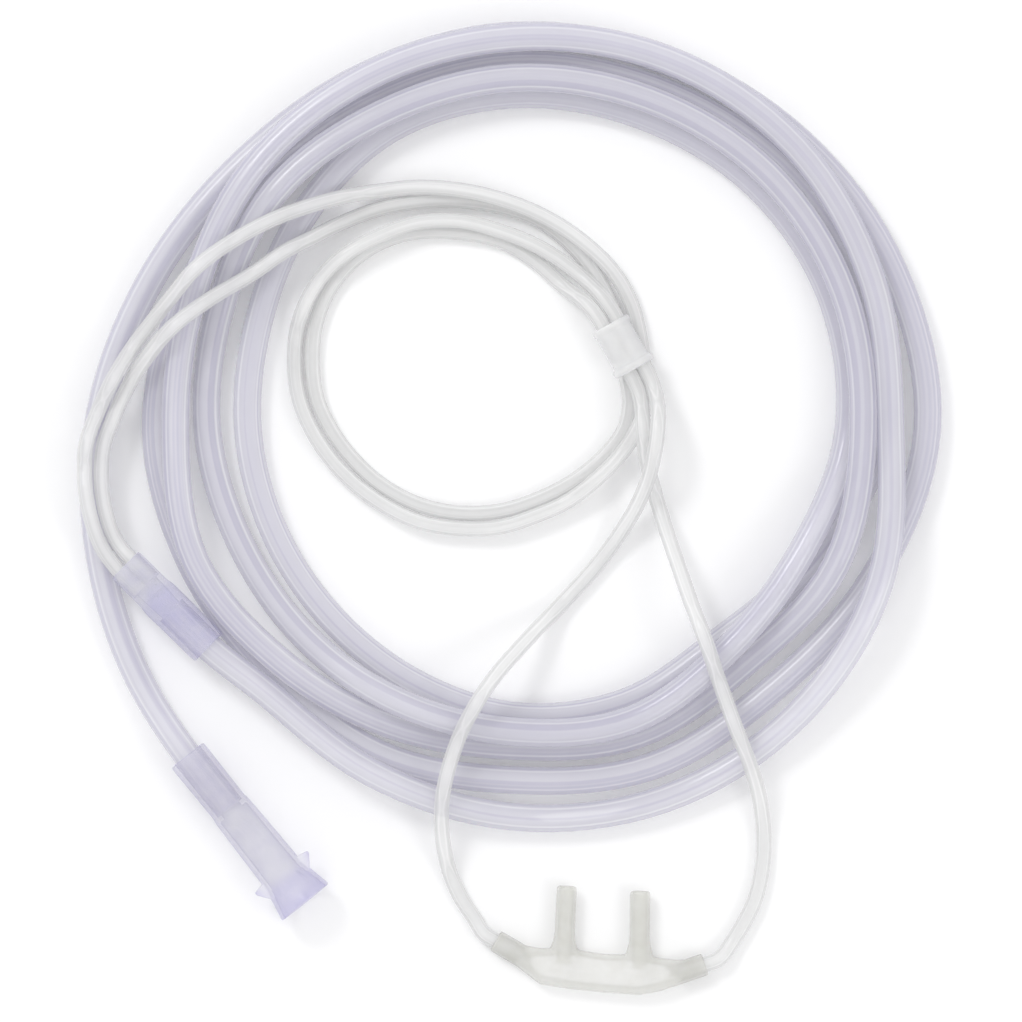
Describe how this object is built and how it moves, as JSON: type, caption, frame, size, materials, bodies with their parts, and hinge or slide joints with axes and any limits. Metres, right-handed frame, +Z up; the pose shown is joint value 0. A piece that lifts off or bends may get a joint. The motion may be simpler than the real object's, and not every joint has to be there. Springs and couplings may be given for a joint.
{
  "type": "nasal oxygen cannula",
  "caption": "Nasal oxygen cannula with curved prongs, thin over-ear tubes drawn together by a slider, and a long supply tube coiled up and ending in a soft push-on connector",
  "frame": {"origin": "on the surface that it lies on, under the middle of the nasal piece's bounding box", "axes": "+Z up from the surface, +X along the nasal piece towards the right prong's end, +Y the way the prongs point, towards the coil"},
  "size_m": [0.1728, 0.195, 0.0177],
  "materials": {
    "nasal_piece": "soft translucent vinyl",
    "lariat_tube_left": "frosted translucent vinyl",
    "lariat_tube_right": "frosted translucent vinyl",
    "slider": "translucent white",
    "y_connector": "clear lavender vinyl",
    "supply_tube": "clear lavender vinyl",
    "end_connector": "clear lavender vinyl"
  },
  "bodies": {
    "root": {"nasal_piece": "nasal_piece", "lariat_tube_left": "lariat_tube_left", "lariat_tube_right": "lariat_tube_right", "slider": "slider", "y_connector": "y_connector", "supply_tube": "supply_tube", "end_connector": "end_connector"}
  },
  "joints": []
}
